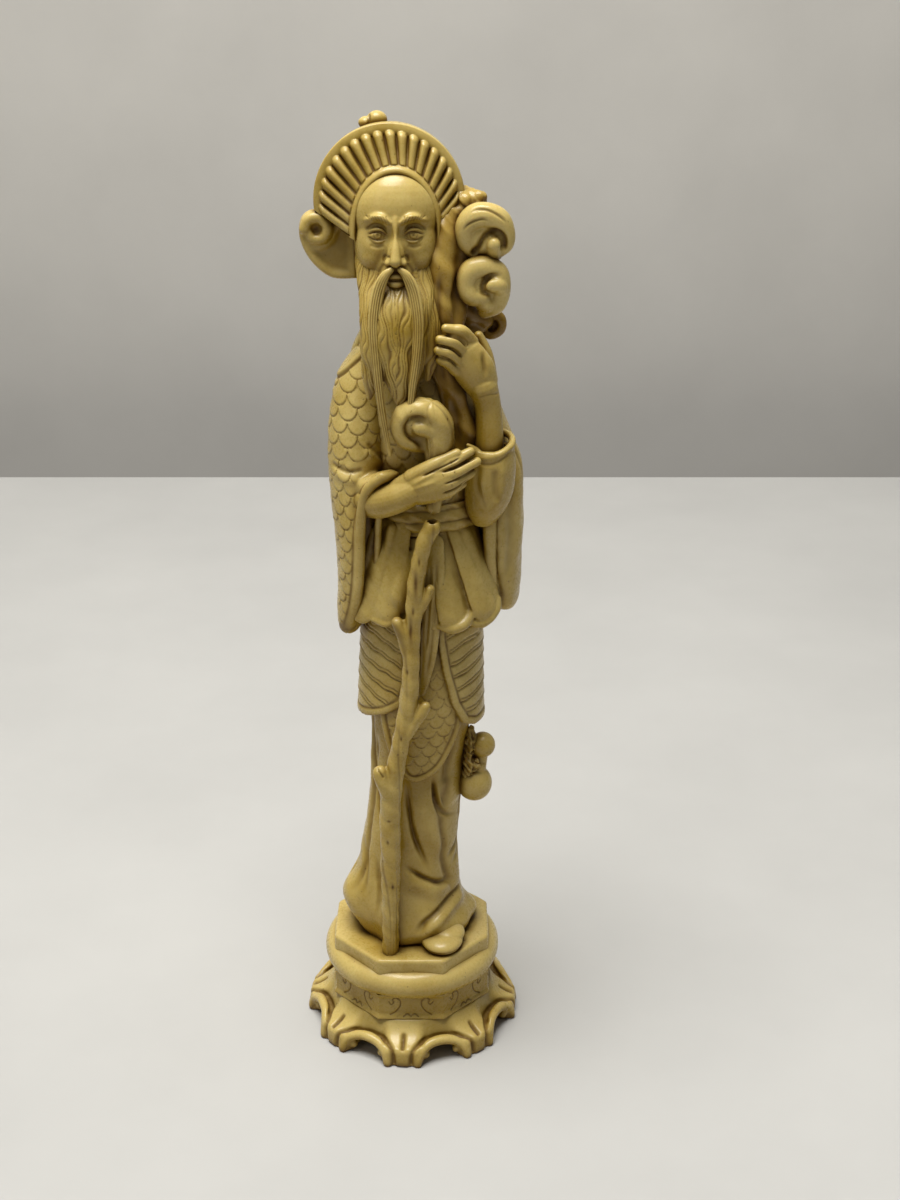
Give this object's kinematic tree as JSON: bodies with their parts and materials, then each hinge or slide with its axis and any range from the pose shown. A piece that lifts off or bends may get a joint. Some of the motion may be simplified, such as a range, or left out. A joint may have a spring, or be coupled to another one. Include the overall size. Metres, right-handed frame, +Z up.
{
  "type": "figurine",
  "caption": "Standing robed sage with beard, fan crown, staff and cloud spray on a stepped octagonal pedestal.",
  "frame": {"origin": "centre of the pedestal's resting plane", "axes": "+Z up, the sage faces -Y, +X to the viewer's right"},
  "size_m": [0.06, 0.06, 0.2527],
  "materials": {
    "ivory_resin": "aged ivory-coloured cast resin, satin gloss, amber patina in the recesses",
    "stained_resin": "the same resin, stained browner behind the clouds"
  },
  "bodies": {
    "root": {"pedestal_foot": "ivory_resin", "pedestal_drum": "ivory_resin", "pedestal_ring": "ivory_resin", "pedestal_top": "ivory_resin", "robe": "ivory_resin", "torso": "ivory_resin", "head": "ivory_resin", "hand_right": "ivory_resin", "hand_left": "ivory_resin", "staff": "ivory_resin", "staff_crook": "ivory_resin", "shoe": "ivory_resin", "apron": "ivory_resin", "tasset_right": "ivory_resin", "tasset_left": "ivory_resin", "belt": "ivory_resin", "sash": "ivory_resin", "coat_skirt_right": "ivory_resin", "coat_skirt_left": "ivory_resin", "beard": "ivory_resin", "moustache_right": "ivory_resin", "moustache_left": "ivory_resin", "cloud_upper": "ivory_resin", "cloud_lower": "ivory_resin", "cloud_back": "stained_resin", "crown": "ivory_resin", "cap": "ivory_resin", "crown_knob": "ivory_resin", "flap_right": "ivory_resin", "cloud_stem": "stained_resin", "flap_left": "ivory_resin", "cuff_left": "ivory_resin", "sleeve_right": "ivory_resin", "sleeve_left": "ivory_resin", "cape": "ivory_resin", "gourd": "ivory_resin", "gourd_tie": "ivory_resin"}
  },
  "joints": []
}
